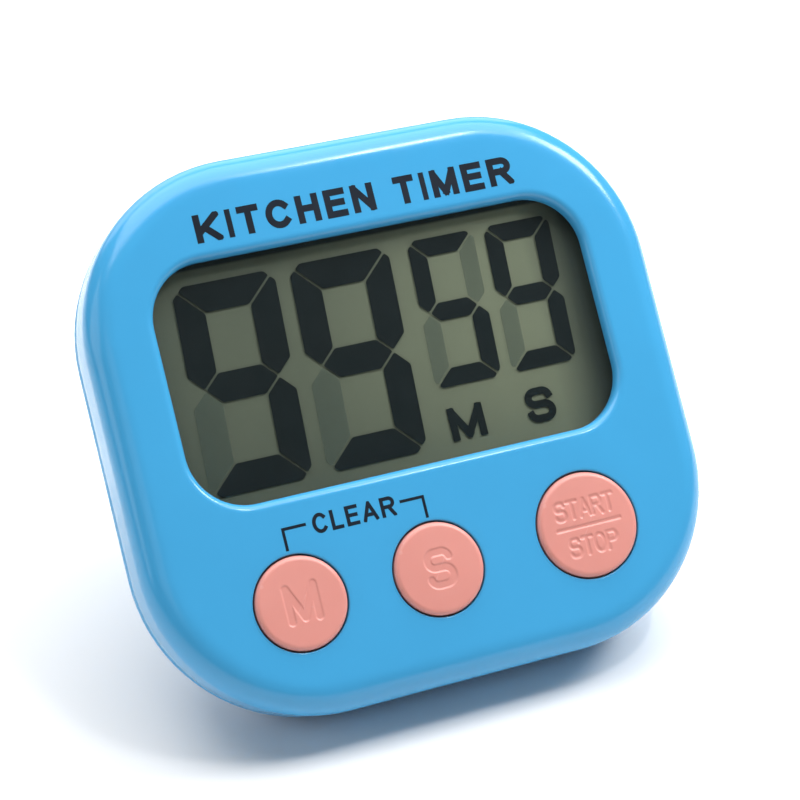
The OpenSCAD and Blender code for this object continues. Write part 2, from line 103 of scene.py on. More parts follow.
# Each shell has a chamfer at the parting line, and together they make the groove.
GROOVE = 0.14

WINDOW = {"w": 65.2, "h": 34.7, "r": 8.3, "cx": -0.16, "cy": 8.36}
LIP = 1.15
BUTTON_GAP = 0.25
BUTTON_EDGE = 0.2
BUTTON_FLANGE = 1.0

# Flat strips of this width round the openings keep the fill between them flat in its shading.
FACE_MARGIN = 0.35
INSIDE_MARGIN = 0.4

# Forms that are joined overlap by this much.
OVERLAP = 0.1

# Points closer than this, left by a cut or a bevel, are merged.
SLIVER = 0.002

# ---------------------------------------------------------------- mesh helpers


def new_piece(name, bm, material, body, smooth_angle=40, flat_area=None):
    """Turns a bmesh drawn in the face frame into a piece that rides on a body.

    Faces wider than flat_area, in square millimetres, are shaded flat.
    """
    wide = [flat_area is not None and face.calc_area() > flat_area for face in bm.faces]
    bmesh.ops.recalc_face_normals(bm, faces=bm.faces)
    mesh = bpy.data.meshes.new(name)
    bm.transform(FACE)
    bm.to_mesh(mesh)
    bm.free()
    piece = bpy.data.objects.new(name, mesh)
    bpy.context.scene.collection.objects.link(piece)
    mesh.materials.append(material)
    mesh.polygons.foreach_set("use_smooth", [not is_wide for is_wide in wide])
    mesh.set_sharp_from_angle(angle=math.radians(smooth_angle))
    even = piece.modifiers.new("flat faces stay flat", "WEIGHTED_NORMAL")
    even.keep_sharp = True
    even.mode = "FACE_AREA"
    even.weight = 90
    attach(piece, body)
    return piece


def rounded(w, h, r, cx=0, cy=0, steps=20):
    """Points round a rounded rectangle, anticlockwise."""
    points = []
    for sx, sy, start in ((1, 1, 0), (-1, 1, 90), (-1, -1, 180), (1, -1, 270)):
        for i in range(steps + 1):
            a = math.radians(start + i * 90 / steps)
            points.append((cx + sx * (w / 2 - r) + r * math.cos(a),
                           cy + sy * (h / 2 - r) + r * math.sin(a)))
    return points


def circle(at, r, steps=72):
    """Points round a circle, anticlockwise."""
    return [(at[0] + r * math.cos(2 * math.pi * i / steps),
             at[1] + r * math.sin(2 * math.pi * i / steps)) for i in range(steps)]


def arc(cx, cy, rx, ry, start, end, steps=14):
    """Points along part of an ellipse, between two angles in degrees."""
    return [(cx + rx * math.cos(math.radians(start + (end - start) * i / steps)),
             cy + ry * math.sin(math.radians(start + (end - start) * i / steps)))
            for i in range(steps + 1)]


def outline(inset):
    """The case's outline, moved in."""
    return rounded(CASE_W - 2 * inset, CASE_H - 2 * inset, CORNER_R - inset)


def window(out):
    """The window's outline, moved out."""
    return rounded(WINDOW["w"] + 2 * out, WINDOW["h"] + 2 * out, WINDOW["r"] + out,
                   WINDOW["cx"], WINDOW["cy"])


def ring(bm, points, z):
    return [bm.verts.new((x, y, z)) for x, y in points]


def strip(bm, a, b):
    """Faces between two rings with the same number of points."""
    for i in range(len(a)):
        j = (i + 1) % len(a)
        bm.faces.new((a[i], a[j], b[j], b[i]))


def loft(bm, rings):
    """Faces through a row of rings."""
    for a, b in zip(rings, rings[1:]):
        strip(bm, a, b)


def flat_fill(bm, loops):
    """Fills a flat region between an outer loop and any holes in it."""
    edges = []
    for loop in loops:
        for i, vert in enumerate(loop):
            edges.append(bm.edges.get((vert, loop[(i + 1) % len(loop)])))
    bmesh.ops.triangle_fill(bm, use_beauty=True, use_dissolve=False, edges=edges)


def prism(points, z_low, z_high):
    """A closed prism over an outline."""
    bm = bmesh.new()
    rings = [ring(bm, points, z_low), ring(bm, points, z_high)]
    loft(bm, rings)
    bm.faces.new(rings[0])
    bm.faces.new(rings[1])
    return bm


def box(low_corner, high_corner):
    (x0, y0, z0), (x1, y1, z1) = low_corner, high_corner
    return prism([(x0, y0), (x1, y0), (x1, y1), (x0, y1)], z0, z1)


def bar_x(points_yz, x_low, x_high):
    """A closed bar along X with an outline in Y and Z."""
    bm = bmesh.new()
    rings = [[bm.verts.new((x, y, z)) for y, z in points_yz] for x in (x_low, x_high)]
    loft(bm, rings)
    for points in rings:
        bm.faces.new(points)
    return bm


def as_object(bm):
    """A plain object for modifiers to work on."""
    bmesh.ops.recalc_face_normals(bm, faces=bm.faces)
    mesh = bpy.data.meshes.new("part")
    bm.to_mesh(mesh)
    bm.free()
    part = bpy.data.objects.new("part", mesh)
    bpy.context.scene.collection.objects.link(part)
    return part


def settled(part):
    """The part's mesh with its modifiers applied; the part itself is removed."""
    evaluated = part.evaluated_get(bpy.context.evaluated_depsgraph_get())
    mesh = bpy.data.meshes.new_from_object(evaluated)
    bpy.data.objects.remove(part)
    bm = bmesh.new()
    bm.from_mesh(mesh)
    bpy.data.meshes.remove(mesh)
    return bm


def carved(base, tools, operation="DIFFERENCE"):
    """The base with each tool cut out of it, or joined to it."""
    target = as_object(base)
    parts = [as_object(tool) for tool in tools]
    for part in parts:
        cut = target.modifiers.new("cut", "BOOLEAN")
        cut.operation = operation
        cut.solver = "EXACT"
        cut.object = part
    result = settled(target)
    for part in parts:
        bpy.data.objects.remove(part)
    return result


def cleaned(bm):
    """Merges the slivers that a cut or a bevel leaves."""
    bmesh.ops.dissolve_degenerate(bm, dist=SLIVER, edges=bm.edges)
    return bm


def softened(bm, width):
    """Rounds the sharp edges of a form by a small width."""
    part = as_object(bm)
    bevel = part.modifiers.new("soft", "BEVEL")
    bevel.width = width
    bevel.segments = 2
    bevel.limit_method = "ANGLE"
    bevel.angle_limit = math.radians(35)
    bevel.use_clamp_overlap = False
    bevel.miter_outer = "MITER_ARC"
    return settled(part)


def grooves(count, half, y_low, pitch, width, surface, depth):
    """Cutters for a row of finger grooves in a surface that faces the back."""
    return [box((-half, y_low + pitch * i, surface - 1),
                (half, y_low + pitch * i + width, surface + depth)) for i in range(count)]


# ---------------------------------------------------------------- materials


class Nodes:
    """A material's node tree with short calls to add and join nodes."""

    def __init__(self, name):
        self.material = bpy.data.materials.new(name)
        self.material.use_nodes = True
        self.tree = self.material.node_tree
        self.shader = self.tree.nodes["Principled BSDF"]
        self.space = self.add("ShaderNodeTexCoord").outputs["Object"]

    def add(self, kind, **values):
        """Adds a node; a value sets the input of that name, or else the node's own setting."""
        node = self.tree.nodes.new(kind)
        for key, value in values.items():
            if key in node.inputs:
                node.inputs[key].default_value = value
            else:
                setattr(node, key, value)
        return node

    def join(self, source, target):
        self.tree.links.new(source, target)

    def feed(self, socket, value):
        """Sets a socket to a number or a colour, or joins it to a node's output."""
        if isinstance(value, (float, int)):
            socket.default_value = value
        elif isinstance(value, tuple):
            socket.default_value = (*value, 1)
        else:
            self.join(value, socket)

    def noise(self, scale, detail=3, roughness=0.5):
        node = self.add("ShaderNodeTexNoise", Scale=scale, Detail=detail, Roughness=roughness)
        self.join(self.space, node.inputs["Vector"])
        return node.outputs["Fac"]

    def remap(self, source, low, high, to_low, to_high):
        node = self.add("ShaderNodeMapRange")
        for i, value in enumerate((low, high, to_low, to_high)):
            node.inputs[i + 1].default_value = value
        self.join(source, node.inputs[0])
        return node.outputs[0]

    def patches(self, scale, detail, low=0.3, high=0.7):
        """Noise spread over the range from 0 to 1."""
        return self.remap(self.noise(scale, detail), low, high, 0.0, 1.0)

    def mix(self, factor, a, b):
        node = self.add("ShaderNodeMix", data_type="RGBA")
        number = [s for s in node.inputs if s.type == "VALUE"][0]
        colours = [s for s in node.inputs if s.type == "RGBA"]
        for socket, value in zip((number, *colours), (factor, a, b)):
            self.feed(socket, value)
        return [s for s in node.outputs if s.type == "RGBA"][0]

    def times(self, a, b):
        node = self.add("ShaderNodeMath", operation="MULTIPLY")
        for socket, value in zip(node.inputs, (a, b)):
            self.feed(socket, value)
        return node.outputs[0]

    def bump(self, height, distance):
        node = self.add("ShaderNodeBump", Strength=1.0, Distance=distance)
        self.join(height, node.inputs["Height"])
        return node.outputs["Normal"]

    def along(self, direction):
        """How far a point lies along a direction, in metres from the world's origin."""
        node = self.add("ShaderNodeVectorMath", operation="DOT_PRODUCT")
        self.join(self.space, node.inputs[0])
        node.inputs[1].default_value = direction
        return node.outputs["Value"]

    def worn_edges(self):
        """1 on edges that stand out enough to be rubbed, 0 elsewhere."""
        geometry = self.add("ShaderNodeNewGeometry")
        return self.remap(geometry.outputs["Pointiness"], 0.53, 0.62, 0.0, 1.0)


def shade(colour, factor):
    return tuple(min(1.0, c * factor) for c in colour)


def plastic(name, colour, roughness, grain=9000, grain_depth=0.000004, variation=0.04,
            wear=0.25, coat=0.0, subsurface=0.0, specular=0.5):
    """Moulded plastic: slight colour drift, fine grain, handling marks and paler edges."""
    m = Nodes(name)
    base = m.mix(m.patches(60, 4), shade(colour, 1 - variation), shade(colour, 1 + variation))
    paler = tuple(c + (1 - c) * 0.35 for c in colour)
    m.join(m.mix(m.times(m.worn_edges(), wear), base, paler), m.shader.inputs["Base Color"])
    marks = m.noise(320, 8, 0.65)
    m.join(m.remap(marks, 0.35, 0.7, roughness * 0.85, roughness * 1.25),
           m.shader.inputs["Roughness"])
    m.join(m.bump(m.noise(grain, 2), grain_depth), m.shader.inputs["Normal"])
    m.shader.inputs["IOR"].default_value = 1.53
    m.shader.inputs["Specular IOR Level"].default_value = specular
    m.shader.inputs["Coat Weight"].default_value = coat
    m.shader.inputs["Coat Roughness"].default_value = 0.06
    m.shader.inputs["Subsurface Weight"].default_value = subsurface
    m.shader.inputs["Subsurface Radius"].default_value = (0.003, 0.0015, 0.001)
    m.shader.inputs["Subsurface Scale"].default_value = 0.4
    return m.material


def metal(name, colour, roughness):
    """Rolled or plated sheet metal with brushing along X and darker stains."""
    m = Nodes(name)
    stretch = m.add("ShaderNodeMapping")
    stretch.inputs["Scale"].default_value = (0.08, 1, 1)
    m.join(m.space, stretch.inputs["Vector"])
    brushing = m.add("ShaderNodeTexNoise", Scale=2600, Detail=4)
    m.join(stretch.outputs[0], brushing.inputs["Vector"])
    stain = m.remap(m.noise(500, 5), 0.45, 0.75, 0.0, 0.5)
    m.join(m.mix(stain, colour, shade(colour, 0.55)), m.shader.inputs["Base Color"])
    m.join(m.remap(brushing.outputs["Fac"], 0.3, 0.7, roughness * 0.7, roughness * 1.4),
           m.shader.inputs["Roughness"])
    m.join(m.bump(brushing.outputs["Fac"], 0.000006), m.shader.inputs["Normal"])
    m.shader.inputs["Metallic"].default_value = 1.0
    return m.material


def display_back():
    """Grey-green reflector film with a fine sparkle, darker near the edges of the window by painted
    shade: the shadow of the window's walls and the fall-off of the light.
    """
    m = Nodes("display_back")
    sparkle = 14000
    grain = m.patches(sparkle, 2, 0.35, 0.65)
    fine = m.mix(grain, (0.178, 0.208, 0.140), (0.198, 0.231, 0.157))
    base = m.mix(m.times(m.patches(25, 2), 0.3), fine, (0.165, 0.201, 0.130))
    # The colour of the painted shade near the window's edges.
    painted_shade = (0.018, 0.030, 0.031)
    across = m.along((1, 0, 0))
    up = m.along(tuple(UP_FACE))
    top_edge = ORIGIN.dot(UP_FACE) + (WINDOW["cy"] + WINDOW["h"] / 2) * MM
    low_edge = top_edge - WINDOW["h"] * MM
    # Each fade of painted shade goes from one place to another along a direction, in metres, and
    # from one amount of
    # shade to another: the light's fall-off to the left and bottom, the walls' shadow at the right
    # and top.
    painted_shade_fades = [(across, -0.014, 0.016, 0.46, 0.0), (across, -0.034, -0.024, 0.25, 0.0),
             (up, low_edge, low_edge + 0.016, 0.22, 0.0), (across, 0.0240, 0.0310, 0.0, 0.85),
             (up, top_edge - 0.0008, top_edge - 0.0004, 0.0, 0.95)]
    # Paints each fade's shade into the film's colour.
    for fade in painted_shade_fades:
        base = m.mix(m.remap(*fade), base, painted_shade)
    m.join(base, m.shader.inputs["Base Color"])
    m.join(m.remap(grain, 0, 1, 0.42, 0.55), m.shader.inputs["Roughness"])
    m.shader.inputs["Specular IOR Level"].default_value = 0.2
    m.join(m.bump(m.noise(sparkle, 2), 0.000003), m.shader.inputs["Normal"])
    return m.material


def see_through(name, colour, alpha, roughness):
    """Thin film that darkens what is behind it."""
    m = Nodes(name)
    m.join(m.mix(m.patches(900, 3), colour, shade(colour, 1.2)), m.shader.inputs["Base Color"])
    m.join(m.remap(m.noise(2500), 0.3, 0.7, roughness * 0.9, roughness * 1.1),
           m.shader.inputs["Roughness"])
    m.shader.inputs["Alpha"].default_value = alpha
    return m.material


def striped_rubber():
    """Elastomer strip: alternate conducting and insulating layers along X."""
    m = Nodes("zebra_rubber")
    wave = m.add("ShaderNodeTexWave", Scale=900, Distortion=0.3)
    m.join(m.space, wave.inputs["Vector"])
    m.join(m.mix(wave.outputs["Fac"], (0.55, 0.42, 0.52), (0.06, 0.055, 0.06)),
           m.shader.inputs["Base Color"])
    m.join(m.remap(m.noise(1500), 0.3, 0.7, 0.45, 0.7), m.shader.inputs["Roughness"])
    m.join(m.bump(wave.outputs["Fac"], 0.00001), m.shader.inputs["Normal"])
    return m.material


def floor_paper():
    """Matt white paper, not quite even."""
    m = Nodes("floor_paper")
    m.join(m.mix(m.patches(8, 4), (0.85, 0.86, 0.87), (0.88, 0.88, 0.88)),
           m.shader.inputs["Base Color"])
    m.shader.inputs["Roughness"].default_value = 0.75
    m.shader.inputs["Specular IOR Level"].default_value = 0.2
    return m.material


BLUE = (0.050, 0.335, 0.63)
PINK = (0.67, 0.272, 0.234)
blue_abs = plastic("blue_abs", BLUE, 0.19, grain=2500, grain_depth=0.000003, variation=0.02,
                   wear=0.12, specular=0.42)
blue_abs_satin = plastic("blue_abs_satin", shade(BLUE, 0.97), 0.46, grain=7000,
                         grain_depth=0.000008, variation=0.03, wear=0.15, specular=0.2)
pink_abs = plastic("pink_abs", PINK, 0.36, grain=6000, grain_depth=0.000006, variation=0.03,
                   wear=0.15, subsurface=0.15)
ink = plastic("printing_ink", (0.008, 0.013, 0.022), 0.42, grain=20000, grain_depth=0.000002,
              variation=0.25, wear=0.0, specular=0.15)
segment_ink = plastic("segment_ink", (0.006, 0.012, 0.014), 0.45, variation=0.1, wear=0.0,
                      specular=0.1)
white_plastic = plastic("white_plastic", (0.82, 0.82, 0.79), 0.45)
board = plastic("board_mask", (0.03, 0.22, 0.09), 0.3, grain=12000, grain_depth=0.00001,
                variation=0.2, coat=0.4)
black_resin = plastic("black_resin", (0.018, 0.018, 0.02), 0.3, variation=0.3)
switch_black = plastic("switch_black", (0.025, 0.025, 0.03), 0.5, variation=0.2)
magnet_grey = plastic("sintered_ferrite", (0.055, 0.055, 0.06), 0.55, grain=4000,
                      grain_depth=0.00003, variation=0.3, wear=0.5)
ceramic_white = plastic("silvered_ceramic", (0.75, 0.74, 0.69), 0.4, variation=0.06)
chip_tan = plastic("fired_ceramic", (0.42, 0.29, 0.16), 0.45, variation=0.1)
cell_sleeve = plastic("cell_sleeve", (0.03, 0.035, 0.05), 0.25, variation=0.1, coat=0.5)
can_sleeve = plastic("capacitor_sleeve", (0.03, 0.05, 0.13), 0.3, variation=0.1)
red_rubber = plastic("red_insulation", (0.55, 0.03, 0.025), 0.5, variation=0.1)
black_rubber = plastic("black_insulation", (0.02, 0.02, 0.02), 0.5, variation=0.2)
steel = metal("plated_steel", (0.66, 0.67, 0.69), 0.28)
brass = metal("rolled_brass", (0.80, 0.58, 0.24), 0.32)
cover_film = see_through("display_cover_film", (0.02, 0.025, 0.022), 0.08, 0.12)
reflector = display_back()
ghost_film = see_through("unlit_segments", (0.06, 0.10, 0.085), 0.17, 0.4)
zebra = striped_rubber()

# ---------------------------------------------------------------- front shell

BUTTONS = {}
for name, body in (("button_m", "m_key"), ("button_s", "s_key"),
                   ("button_start_stop", "start_key")):
    b_low, b_high = place(name)
    BUTTONS[name] = {"at": middle(name), "r": (b_high.x - b_low.x) / 2 - BUTTON_FLANGE,
                     "top": b_high.z, "back": b_low.z, "body": body}


def shoulder(steps=14):
    """[inset, z] from the side wall round to the flat face."""
    profile = []
    for i in range(steps + 1):
        a = math.radians(90 * i / steps)
        profile.append((SHOULDER_W * (1 - math.cos(a) ** SHOULDER_POWER),
                        -SHOULDER_D * (1 - math.sin(a) ** SHOULDER_POWER)))
    return profile


def fillet(r, steps=6):
    """[out, z] of a quarter-round lip from the flat face down into an opening."""
    return [(r * (1 - math.sin(math.radians(90 * i / steps))),
             -r * (1 - math.cos(math.radians(90 * i / steps)))) for i in range(steps + 1)]


def front_case():
    """Side, shoulder and face, the rounded openings in the face, and the inside of the wall."""
    bm = bmesh.new()
    side = [(GROOVE, PARTING_Z), (0.0, PARTING_Z + GROOVE), (0.0, SIDE_RING_Z)]
    outer = [ring(bm, outline(inset), z) for inset, z in side + shoulder()]
    outer.append(ring(bm, outline(SHOULDER_W + FACE_MARGIN), 0))
    loft(bm, outer)
    draft, break_out, break_up = 0.02, 0.05, 0.08
    lip = [(LIP + FACE_MARGIN, 0)] + fillet(LIP)
    lip += [(-draft, break_up - WALL), (break_out, -WALL), (INSIDE_MARGIN, -WALL)]
    openings = [[ring(bm, window(out), z) for out, z in lip]]
    edge = [(BUTTON_EDGE + FACE_MARGIN, 0)] + fillet(BUTTON_EDGE, 4)
    edge += [(0, -WALL), (INSIDE_MARGIN, -WALL)]
    for button in BUTTONS.values():
        hole_r = button["r"] + BUTTON_GAP
        openings.append([ring(bm, circle(button["at"], hole_r + out), z) for out, z in edge])
    for rings in openings:
        loft(bm, rings)
    flat_fill(bm, [outer[-1]] + [rings[0] for rings in openings])
    inside = [(WALL + INSIDE_MARGIN, -WALL), (WALL, -WALL), (WALL, PARTING_Z)]
    inner = [ring(bm, outline(inset), z) for inset, z in inside]
    loft(bm, inner)
    strip(bm, inner[-1], outer[0])
    flat_fill(bm, [rings[-1] for rings in openings] + [inner[0]])
    return bm


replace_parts(new_piece("front_case", front_case(), blue_abs, "case", 50), "front_shell")

# ---------------------------------------------------------------- rear shell

# Tools that cut the shell, or keep part of it, run this far past it.
PAST_BACK = -25.0
PAST_PARTING = 0.0
PAST_TOP = 50.0

# The rear shell's lip stands up inside the front shell. The hollow, [inset, z], starts inside
# the lip and narrows towards the back.
SLIP = 0.15
LIP_H = 1.4
HOLLOW_INSET = 3.4
HOLLOW = [(HOLLOW_INSET, PARTING_Z + 1), (HOLLOW_INSET, -13), (3.9, -15.5), (5.6, BACK_Z + WALL)]

# The stand's plate reaches from the hinge barrel to the foot. Seen from the side, it is
# PLATE_OUT thick on the outer side of the hinge's axis and PLATE_IN on the inner side.
HINGE = TURN.transposed() @ (Vector(JOINTS["stand_fold"]["pos_m"]) - ORIGIN) / MM
STAND_OPEN = math.radians(-JOINTS["stand_fold"]["range_deg"][0])
STAND_W = 30.0
STAND_REACH = 31.5
FOOT_R = 1.1
PLATE_OUT = 1.8
PLATE_IN = 0.2
BARREL_R = 1.8
PIN_R = 1.1
PIN_L = 2.4
PIN_PLAY = 0.05
PIN_END_PLAY = 0.2

# The recess that the stand folds into. The open plate rests on a slanted stop in it, and a
# notch below the foot lets a finger in.
STOP_GAP = 0.04
RECESS_FLOOR = -16.6
RECESS_END = HINGE.y - STAND_REACH - FOOT_R - 0.4
POCKET_FLOOR = -14.9
NOTCH = {"w": 14, "r": 3, "floor": -17.3}

# The battery door slides on rails over the battery bay.
DOOR_Y = [corner.y for corner in place("battery_door")]
DOOR_W = 49.0
DOOR_T = 1.4
DOOR_PLAY = 0.1
RAIL_W = 1.2
RAIL_T = 0.7
BAY_X = (-25.4, 23.2)
BAY_Y = middle("battery_can")[1]
BAY_HALF = 5.4
BAY_FRONT = -6.9
BAY_WALL = 1.0
BAY_FLOOR_T = 0.95

# Solid pads inside the back carry the door, the stand and its hinge: half the width, the lower
# and upper ends, and the front.
PADS = [(27.4, BAY_Y, 33.8, -15.5),
        (STAND_W / 2 + 3.5, -33.6, HINGE.y + 4, -14.6),
        (STAND_W / 2 + 3.4, HINGE.y - 4, HINGE.y + 3.9, -13.2)]

magnet_low, magnet_high = place("magnet_left")
MAGNET_R = (magnet_high.x - magnet_low.x) / 2
MAGNETS = [middle("magnet_left"), middle("magnet_right")]
MAGNET_SEAT = -16.5
MAGNET_PLAY = 0.1
BOSS = {"wall": 1.4, "front": -14.9}

SCREWS = [(side * x, y) for x, y in ((29.5, 30.2), (33.5, -21)) for side in (-1, 1)]
SCREW_SEAT = -12.4
SCREW_HEAD_R = 2.4
SCREW_HOLE_R = 1.25
PILLAR_R = 3.4

BUZZER = (0, -14)
SOUND_HOLE_R = 0.8
SOUND_RING_R = 3.6
SOUND_HOLE_Z = (-18, -14)


def rear_profile(steps=10):
    """[inset, z] from the side wall round to the back."""
    profile = []
    for i in range(steps + 1):
        a = math.radians(90 * i / steps)
        profile.append((ROUND_INSET * (1 - math.cos(a)),
                        SIDE_END + (BACK_Z - SIDE_END) * math.sin(a)))
    return profile


def capped_loft(profile):
    """A closed form with the case's outline, moved in at each height of the profile."""
    bm = bmesh.new()
    rings = [ring(bm, outline(inset), z) for inset, z in profile]
    loft(bm, rings)
    bm.faces.new(rings[0])
    bm.faces.new(rings[-1])
    return bm


def bay(out, z_low, z_high):
    """The battery bay as a box, moved out on its four sides."""
    return box((BAY_X[0] - out, BAY_Y - BAY_HALF - out, z_low),
               (BAY_X[1] + out, BAY_Y + BAY_HALF + out, z_high))


def rear_blocks():
    """Solid plastic left inside the shell, round all that is let into the back."""
    blocks = [prism(circle(at, PILLAR_R, 40), PAST_BACK, PAST_PARTING) for at in SCREWS]
    blocks += [prism(circle(at, MAGNET_R + BOSS["wall"], 56), PAST_BACK, BOSS["front"])
               for at in MAGNETS]
    blocks.append(bay(BAY_WALL, PAST_BACK, PAST_PARTING))
    blocks += [box((-half, y_low, PAST_BACK), (half, y_high, front))
               for half, y_low, y_high, front in PADS]
    return blocks


def rear_walls():
    """The shell before its cuts: walls, blocks, lip and the walls of the battery bay."""
    shell = capped_loft([(GROOVE, PARTING_Z), (0.0, PARTING_Z - GROOVE)] + rear_profile())
    shell = carved(shell, [carved(capped_loft(HOLLOW), rear_blocks())])
    lip_out = WALL + SLIP
    lip = carved(capped_loft([(lip_out, PARTING_Z - OVERLAP), (lip_out, PARTING_Z + LIP_H)]),
                 [capped_loft([(HOLLOW_INSET, PARTING_Z - 1), (HOLLOW_INSET, PARTING_Z + 2)])])
    bay_walls = bay(BAY_WALL, PARTING_Z - OVERLAP, BAY_FRONT + BAY_FLOOR_T)
    return carved(shell, [lip, bay_walls], "UNION")


def stand_recess_outline():
    """Side view of the recess, [y, z]: hinge pocket, stop face, floor and lower end."""
    outward = (math.sin(STAND_OPEN), -math.cos(STAND_OPEN))
    along = (-math.cos(STAND_OPEN), -math.sin(STAND_OPEN))
    reach = PLATE_OUT + STOP_GAP
    stop = (HINGE.y + reach * outward[0], HINGE.z + reach * outward[1])
    outside = BACK_Z - 1
    top = HINGE.y + BARREL_R + 0.1
    pocket = HINGE.y - BARREL_R - SLIP
    return [(top, POCKET_FLOOR), (top, stop[1] + (top - stop[0]) / along[0] * along[1]),
            (stop[0] + along[0] * (outside - stop[1]) / along[1], outside), (RECESS_END, outside),
            (RECESS_END, RECESS_FLOOR), (pocket, RECESS_FLOOR), (pocket, POCKET_FLOOR)]


def rear_cuts():
    """All that is let into the back: bay, door, stand, pins, magnets, screws and sound holes."""
    stand_half = STAND_W / 2 + SLIP
    door_half = DOOR_W / 2 + SLIP
    door_end = DOOR_Y[0] - SLIP
    door_front = BACK_Z + DOOR_T
    notch_h = 2 * (CASE_H / 2 + RECESS_END + 1)
    cuts = [bay(0, door_front, BAY_FRONT),
            box((-door_half, door_end, PAST_BACK), (door_half, PAST_TOP, door_front + DOOR_PLAY)),
            box((-door_half - RAIL_W, door_end, door_front - RAIL_T - DOOR_PLAY),
                (door_half + RAIL_W, PAST_TOP, door_front + DOOR_PLAY)),
            bar_x(stand_recess_outline(), -stand_half, stand_half),
            prism(rounded(NOTCH["w"], notch_h, NOTCH["r"], 0, -CASE_H / 2), PAST_BACK,
                  NOTCH["floor"])]
    pin_hole = circle((HINGE.y, HINGE.z), PIN_R + PIN_PLAY, 32)
    pin_start = stand_half - 0.5
    pin_end = STAND_W / 2 + PIN_L + PIN_END_PLAY
    cuts += [bar_x(pin_hole, -pin_end, -pin_start), bar_x(pin_hole, pin_start, pin_end)]
    cuts += [prism(circle(at, MAGNET_R + MAGNET_PLAY, 64), PAST_BACK, MAGNET_SEAT)
             for at in MAGNETS]
    for at in SCREWS:
        cuts.append(prism(circle(at, SCREW_HOLE_R, 32), PAST_BACK, PAST_PARTING))
        cuts.append(prism(circle(at, SCREW_HEAD_R, 40), PAST_BACK, SCREW_SEAT))
    sound_holes = [BUZZER] + circle(BUZZER, SOUND_RING_R, 6)
    cuts += [prism(circle(at, SOUND_HOLE_R, 24), *SOUND_HOLE_Z) for at in sound_holes]
    return cuts


def rear_case():
    return softened(carved(rear_walls(), rear_cuts()), 0.18)


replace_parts(new_piece("rear_case", rear_case(), blue_abs_satin, "case", 35, 200), "rear_shell")


def stand():
    """Plate with a hinge barrel at one end, a round foot at the other, pins and finger grips."""
    meet = math.degrees(math.asin(PLATE_IN / BARREL_R))
    plate_half = (PLATE_OUT + PLATE_IN) / 2
    round_off = math.degrees(math.asin(plate_half / FOOT_R))
    side = arc(0, 0, BARREL_R, BARREL_R, -90, 180 - meet, 30)
    side += arc(-STAND_REACH, PLATE_IN - plate_half, FOOT_R, FOOT_R, round_off, 360 - round_off, 20)
    pins = bar_x(circle((0, 0), PIN_R, 40), -STAND_W / 2 - PIN_L, STAND_W / 2 + PIN_L)
    grips = grooves(4, half=6, y_low=2 - STAND_REACH, pitch=1.6, width=0.7, surface=-PLATE_OUT,
                    depth=0.3)
    bm = carved(bar_x(side, -STAND_W / 2, STAND_W / 2), [pins], "UNION")
    bm = cleaned(softened(carved(bm, grips), 0.15))
    bm.transform(Matrix.Translation(HINGE) @ Matrix.Rotation(STAND_OPEN, 4, "X"))
    return bm


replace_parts(new_piece("stand_plate", stand(), blue_abs_satin, "stand", 35, 10), "kickstand")


def door():
    """Plate with a rail on each side, finger grips and an arrow that shows the way it opens."""
    front = BACK_Z + DOOR_T
    half = DOOR_W / 2
    rail_half = half + RAIL_W - DOOR_PLAY
    plate = box((-half, DOOR_Y[0], BACK_Z), (half, DOOR_Y[1], front))
    rails = box((-rail_half, DOOR_Y[0], front - RAIL_T), (rail_half, DOOR_Y[1], front))
    grips = grooves(5, half=7, y_low=13.5, pitch=1.7, width=0.8, surface=BACK_Z, depth=0.4)
    arrow_half, arrow_low, arrow_tip = 2.2, 23.6, 27.0
    arrow = prism([(-arrow_half, arrow_low), (arrow_half, arrow_low), (0, arrow_tip)],
                  BACK_Z - 1, BACK_Z + 0.3)
    return softened(carved(carved(plate, [rails], "UNION"), grips + [arrow]), 0.12)


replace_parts(new_piece("door_plate", door(), blue_abs_satin, "door", 35, 10), "battery_door")

# ---------------------------------------------------------------- letters

# Strokes of the letters in a box one wide and one high.
STROKES = {
    "A": [[(0, 0), (0.5, 1), (1, 0)], [(0.17, 0.3), (0.83, 0.3)]],
    "C": [arc(0.52, 0.5, 0.52, 0.5, 42, 318, 24)],
    "E": [[(0, 0), (0, 1)], [(0, 1), (1, 1)], [(0, 0.52), (0.92, 0.52)], [(0, 0), (1, 0)]],
    "H": [[(0, 0), (0, 1)], [(1, 0), (1, 1)], [(0, 0.52), (1, 0.52)]],
    "I": [[(0.5, 0), (0.5, 1)]],
    "K": [[(0, 0), (0, 1)], [(0.05, 0.32), (1, 1.04)], [(0.32, 0.54), (1, -0.04)]],
    "L": [[(0, 0), (0, 1)], [(0, 0), (1, 0)]],
    "M": [[(0, 0), (0, 1)], [(0, 1), (0.5, 0.05)], [(0.5, 0.05), (1, 1)], [(1, 1), (1, 0)]],
    "N": [[(0, 0), (0, 1)], [(0, 1), (1, 0)], [(1, 0), (1, 1)]],
    "O": [arc(0.5, 0.5, 0.5, 0.5, 0, 360, 28)],
    "P": [[(0, 0), (0, 1)], [(0, 1), (0.6, 1)] + arc(0.62, 0.74, 0.36, 0.26, 90, -90) + [(0, 0.48)]],
    "R": [[(0, 0), (0, 1)], [(0, 1), (0.6, 1)] + arc(0.64, 0.75, 0.34, 0.25, 90, -90) + [(0, 0.5)],
          [(0.55, 0.5), (1, -0.04)]],
    "S": [arc(0.66, 0.76, 0.31, 0.24, 15, 90) + arc(0.33, 0.76, 0.31, 0.24, 90, 270)
          + arc(0.66, 0.26, 0.34, 0.26, 90, -90) + arc(0.34, 0.26, 0.34, 0.26, -90, -165)],
    "T": [[(0, 1), (1, 1)], [(0.5, 1), (0.5, 0)]],
}


def word(text, x, y, w, h):
    """Line pieces of a word whose letters share a width w, from its lower left corner."""
    pitch = 1.3 * w
    pieces = []
    for i, letter_name in enumerate(text):
        for line in STROKES[letter_name]:
            points = [(x + i * pitch + px * w, y + py * h) for px, py in line]
            pieces += list(zip(points, points[1:]))
    return pieces


